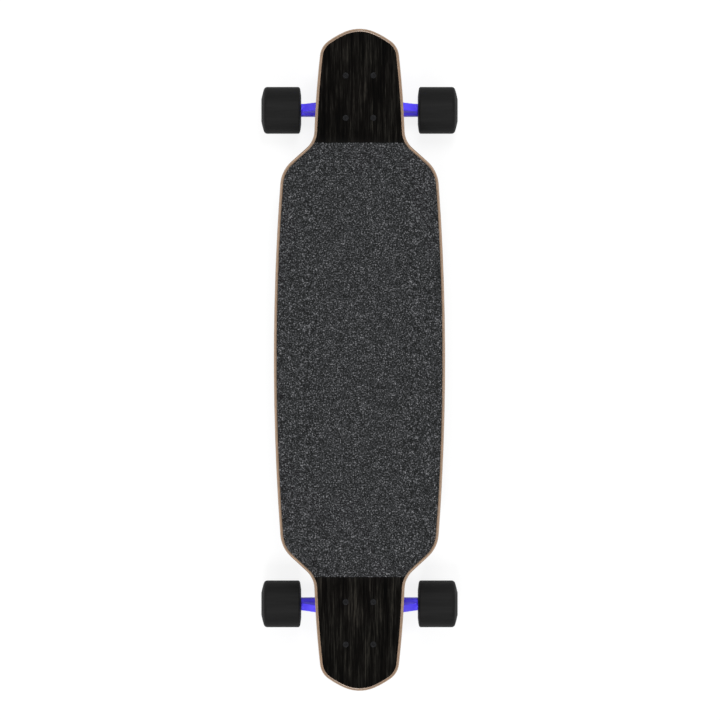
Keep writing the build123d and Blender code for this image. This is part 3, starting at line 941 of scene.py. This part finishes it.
def dress_kingpin(end):
    """Kingpin, lock nut and the two cup washers, all on the kingpin's line."""
    middle, _, kingpin = truck_axes(end)
    nut = lock_nut(kingpin_flats, kingpin_radius, washer_seat, kingpin_nut_height)
    insert = nylon_ring(kingpin_radius, washer_seat + kingpin_nut_height)
    washers = [
        turned(cup_washer(cup_washer_radius, -1)),
        turned(cup_washer(small_washer_radius, 1)),
    ]
    bolt = placed(gathered(kingpin_shapes()), middle, kingpin)
    finished_piece(f"{end}_kingpin", bolt, "zinc_steel")
    finished_piece(f"{end}_kingpin_nut", placed(gathered(nut), middle, kingpin), "zinc_steel")
    insert = placed(insert, middle, kingpin)
    add_piece(f"{end}_kingpin_nut_nylon_ring", insert, "core_plastic", "deck")
    washers = placed(gathered(washers), middle, kingpin)
    finished_piece(f"{end}_kingpin_washers", washers, "zinc_steel")


def dress_axle(end):
    """Axle, speed washers, bearing inner rings, spacers and lock nuts of one truck."""
    low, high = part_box(f"{end}_axle")
    centre = (low + high) / 2
    hanger_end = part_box(f"{end}_hanger")[1].x
    nut_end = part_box(f"{end}_axle_nuts")[1].x
    bearing_start, bearing_end = (
        corner.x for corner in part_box(f"{end}_right_bearing_outer_rings")
    )
    nut_start = bearing_end + speed_washer_thickness
    spacer_start = bearing_start + bearing_width
    second_bearing_start = bearing_end - bearing_width
    thread_length = high.x - nut_start - thread_run_out
    root = axle_radius - thread_root_share * coarse_pitch
    bore = axle_radius + axle_bore_gap
    rod = turned(
        [
            (low.x, 0, 0),
            (low.x, root, end_round),
            (-nut_start, root, 0),
            (-nut_start, axle_radius, bore_round),
            (nut_start, axle_radius, bore_round),
            (nut_start, root, 0),
            (high.x, root, end_round),
            (high.x, 0, 0),
        ]
    )
    axle, washers, rings, spacers, nuts = [placed(rod, centre, (1, 0, 0))], [], [], [], []
    inserts = []
    for axis in ((1, 0, 0), (-1, 0, 0)):
        ridge = thread(axle_radius, coarse_pitch, nut_start, thread_length)
        axle.append(placed(ridge, centre, axis))
        for start in (hanger_end, bearing_end):
            washer = ring(bore, speed_washer_radius, start, speed_washer_thickness, thin_round)
            washers.append(placed(washer, centre, axis))
        for start in (bearing_start, second_bearing_start):
            inner_ring = ring(bore, inner_ring_radius, start, bearing_width, rim_round)
            rings.append(placed(inner_ring, centre, axis))
        spacer_length = second_bearing_start - spacer_start
        spacer = ring(bore, spacer_radius, spacer_start, spacer_length, bore_round)
        spacers.append(placed(spacer, centre, axis))
        for shape in lock_nut(axle_nut_flats, axle_radius, nut_start, nut_end - nut_start):
            nuts.append(placed(shape, centre, axis))
        inserts.append(placed(nylon_ring(axle_radius, nut_end), centre, axis))
    finished_piece(f"{end}_axle", gathered(axle), "axle_steel")
    finished_piece(f"{end}_speed_washers", gathered(washers), "zinc_steel")
    finished_piece(f"{end}_bearing_inner_rings", gathered(rings), "bearing_steel")
    finished_piece(f"{end}_bearing_spacers", gathered(spacers), "spacer_aluminium")
    finished_piece(f"{end}_axle_nuts", gathered(nuts), "zinc_steel")
    add_piece(
        f"{end}_axle_nut_nylon_rings", gathered(inserts), "core_plastic", f"{end}_hanger"
    )


def truck_bolts_above(end, seat, places):
    """A truck's countersunk bolts down to their nuts' seat, with a small round on each rim."""
    bolts = merged_copy(f"{end}_mounting_bolts")
    top = max(vertex.co.z for vertex in bolts.verts)
    bmesh.ops.bisect_plane(
        bolts,
        geom=bolts.verts[:] + bolts.edges[:] + bolts.faces[:],
        plane_co=(0, 0, seat),
        plane_no=(0, 0, -1),
        clear_outer=True,
    )
    bmesh.ops.holes_fill(bolts, edges=[edge for edge in bolts.edges if edge.is_boundary])
    rims = [
        edge
        for edge in bolts.edges
        if all(
            corner.co.z > top - bolt_rim_depth
            and min(math.dist(corner.co.xy, place) for place in places)
            > bolt_rim_share * bolt_head_radius
            for corner in edge.verts
        )
    ]
    bmesh.ops.bevel(
        bolts,
        geom=rims,
        offset=bolt_head_round,
        affect="EDGES",
        segments=bolt_head_round_steps,
        profile=0.5,
        material=-1,
    )
    return bolts


def dress_truck_bolts(end):
    """Countersunk bolts with a thread past their seat, and the nuts with their nylon rings."""
    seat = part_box(f"{end}_mounting_nuts")[1].z
    low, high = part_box(f"{end}_mounting_bolts")
    places = [
        (x, y)
        for x in (low.x + bolt_head_radius, high.x - bolt_head_radius)
        for y in (low.y + bolt_head_radius, high.y - bolt_head_radius)
    ]
    down = (0, 0, -1)
    reach = seat - low.z
    root = bolt_radius - thread_root_share * fine_pitch
    rod = [
        (-bolt_overlap, 0, 0),
        (-bolt_overlap, root, 0),
        (reach, root, ring_round),
        (reach, 0, 0),
    ]
    bolts, nuts, inserts = [truck_bolts_above(end, seat, places)], [], []
    for x, y in places:
        top = Vector((x, y, seat))
        for shape in lock_nut(bolt_nut_flats, bolt_radius, 0, bolt_nut_height):
            nuts.append(placed(shape, top, down))
        inserts.append(placed(nylon_ring(bolt_radius, bolt_nut_height), top, down))
        bolts.append(placed(turned(rod), top, down))
        ridge = thread(bolt_radius, fine_pitch, 0, reach - bolt_run_out)
        bolts.append(placed(ridge, top, down))
    finished_piece(f"{end}_mounting_bolts", gathered(bolts), "black_steel")
    finished_piece(f"{end}_mounting_nuts", gathered(nuts), "zinc_steel")
    add_piece(f"{end}_mounting_nut_nylon_rings", gathered(inserts), "core_plastic", "deck")


def dress_truck(end):
    """One truck, from its castings to its bolts."""
    cast_piece(f"{end}_baseplate")
    cast_piece(f"{end}_hanger")
    dress_pivot_cup(end)
    dress_bushing(end, "boardside", -1, bushing_radius)
    dress_bushing(end, "roadside", 1, cone_radius)
    dress_kingpin(end)
    dress_axle(end)
    dress_truck_bolts(end)


# Wheels


def tyre_section():
    """A tyre's section from its inner face outwards, from dish to dish and back along its core."""
    tread_end = wheel_width - tread_from_outer
    return [
        (core_start, inner_dish_radius, 0),
        (lip_height, inner_lip_radius, bend_round),
        (0, inner_lip_radius + lip_height, bend_round),
        *((along, wheel_radius - drop, rounding) for along, drop, rounding in inner_shoulder),
        (tread_start, wheel_radius, tread_start_round),
        (tread_end, wheel_radius, tread_end_round),
        *(
            (tread_end + along, wheel_radius - drop, rounding)
            for along, drop, rounding in outer_shoulder
        ),
        (wheel_width - crown_inset, outer_lip_radius + crown_height, crown_round),
        (wheel_width, outer_lip_radius + lip_height, end_round),
        (wheel_width - lip_height, outer_lip_radius, rim_round),
        (core_end, outer_dish_radius, 0),
        (core_end, core_radius, 0),
        (core_start, core_radius, 0),
    ]


def dress_wheel(end, side):
    """A poured urethane tyre, with rounded lips and shoulders, and its two sealed bearings."""
    low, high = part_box(f"{end}_{side}_tyre")
    inner_face = min(abs(low.x), abs(high.x))
    centre = (low + high) / 2
    start = Vector((0, centre.y, centre.z))
    axis = (sides[side], 0, 0)
    section = [(inner_face + along, radius, rounding) for along, radius, rounding in tyre_section()]
    tyre = placed(turned(section, fine_turn), start, axis)
    finished_piece(f"{end}_{side}_tyre", tyre, "wheel_urethane")
    dressed_copy(f"{end}_{side}_wheel_core", "core_plastic")
    dressed_copy(f"{end}_{side}_ball_rings", "bearing_steel")
    near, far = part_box(f"{end}_{side}_bearing_outer_rings")
    first, last = sorted((abs(near.x), abs(far.x)))
    outer_rings, shields = [], []
    for place in (first, last - bearing_width):
        outer_ring = ring(outer_ring_bore, bearing_radius, place, bearing_width, ring_round)
        outer_rings.append(placed(outer_ring, start, axis))
        for inset in (shield_inset, bearing_width - shield_inset - shield_thickness):
            shield = ring(
                inner_ring_radius + shield_gap,
                outer_ring_bore,
                place + inset,
                shield_thickness,
                hair_round,
            )
            shields.append(placed(shield, start, axis))
    finished_piece(f"{end}_{side}_bearing_outer_rings", gathered(outer_rings), "bearing_steel")
    finished_piece(f"{end}_{side}_bearing_shields", gathered(shields), "shield_rubber")


dress_deck()
for end in ends:
    dress_truck(end)
    for side in sides:
        dress_wheel(end, side)


# Stage, light and camera


def floor_material():
    """Pale studio floor that shows as white and keeps the board's soft shadow."""
    material, tree = new_material("white_studio_floor")
    share = add_node(
        tree, "ShaderNodeMath", {0: background_share(tree), 1: floor_glow}, operation="MULTIPLY"
    )
    matt = add_node(tree, "ShaderNodeBsdfDiffuse", {"Color": linear("#f2f2f2")})
    glow = add_node(tree, "ShaderNodeEmission", {"Color": linear("#ffffff"), "Strength": 1.0})
    mix = add_node(
        tree,
        "ShaderNodeMixShader",
        {0: share.outputs["Value"], 1: matt.outputs["BSDF"], 2: glow.outputs["Emission"]},
    )
    add_node(tree, "ShaderNodeOutputMaterial", {"Surface": mix.outputs["Shader"]})
    return material


def add_floor():
    """The studio floor that the wheels stand on."""
    bm = bmesh.new()
    bmesh.ops.create_grid(bm, x_segments=1, y_segments=1, size=floor_half_width)
    mesh = bpy.data.meshes.new("studio_floor")
    bm.to_mesh(mesh)
    bm.free()
    floor = bpy.data.objects.new("studio_floor", mesh)
    bpy.context.scene.collection.objects.link(floor)
    mesh.materials.append(floor_material())


def add_softbox(name, place, size, watts):
    """A square softbox aimed at the board's centre."""
    lamp = bpy.data.lights.new(name, "AREA")
    lamp.shape = "SQUARE"
    lamp.size = size
    lamp.energy = watts
    softbox = bpy.data.objects.new(name, lamp)
    softbox.location = place
    softbox.rotation_mode = "QUATERNION"
    softbox.rotation_quaternion = Vector(place).to_track_quat("Z", "Y")
    softbox.visible_camera = False
    bpy.context.scene.collection.objects.link(softbox)


def add_world():
    """Even daylight that shows as white where the camera or a shiny piece sees it."""
    world = bpy.data.worlds.new("studio")
    world.use_nodes = True
    world.node_tree.nodes.clear()
    tree = world.node_tree
    strength = add_node(
        tree,
        "ShaderNodeMapRange",
        {"Value": background_share(tree), "To Min": sky_strength, "To Max": 1.0},
    )
    sky = add_node(
        tree,
        "ShaderNodeBackground",
        {"Color": linear("#ffffff"), "Strength": strength.outputs["Result"]},
    )
    add_node(tree, "ShaderNodeOutputWorld", {"Surface": sky.outputs["Background"]})
    bpy.context.scene.world = world


def add_camera():
    """Looks down with the nose at the top, leaning back a little towards it, as the photograph."""
    lens = bpy.data.cameras.new("photo_view")
    lens.type = "ORTHO"
    lens.ortho_scale = photo_pixels * metres_per_pixel
    middle = (photo_pixels - 1) / 2
    across = (middle - deck_centre_pixel[0]) * metres_per_pixel
    along = (deck_centre_pixel[1] - middle) * metres_per_pixel
    aim = Vector((across, along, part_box("grip_tape")[1].z))
    lean = Vector((0, math.sin(camera_lean), math.cos(camera_lean)))
    camera = bpy.data.objects.new("photo_view", lens)
    camera.location = aim + camera_distance * lean
    camera.rotation_euler = (-camera_lean, 0, 0)
    bpy.context.scene.collection.objects.link(camera)
    bpy.context.scene.camera = camera


add_floor()
add_world()
for name, (place, size, watts) in softboxes.items():
    add_softbox(name, place, size, watts)
add_camera()
bpy.context.scene.view_settings.view_transform = "Standard"

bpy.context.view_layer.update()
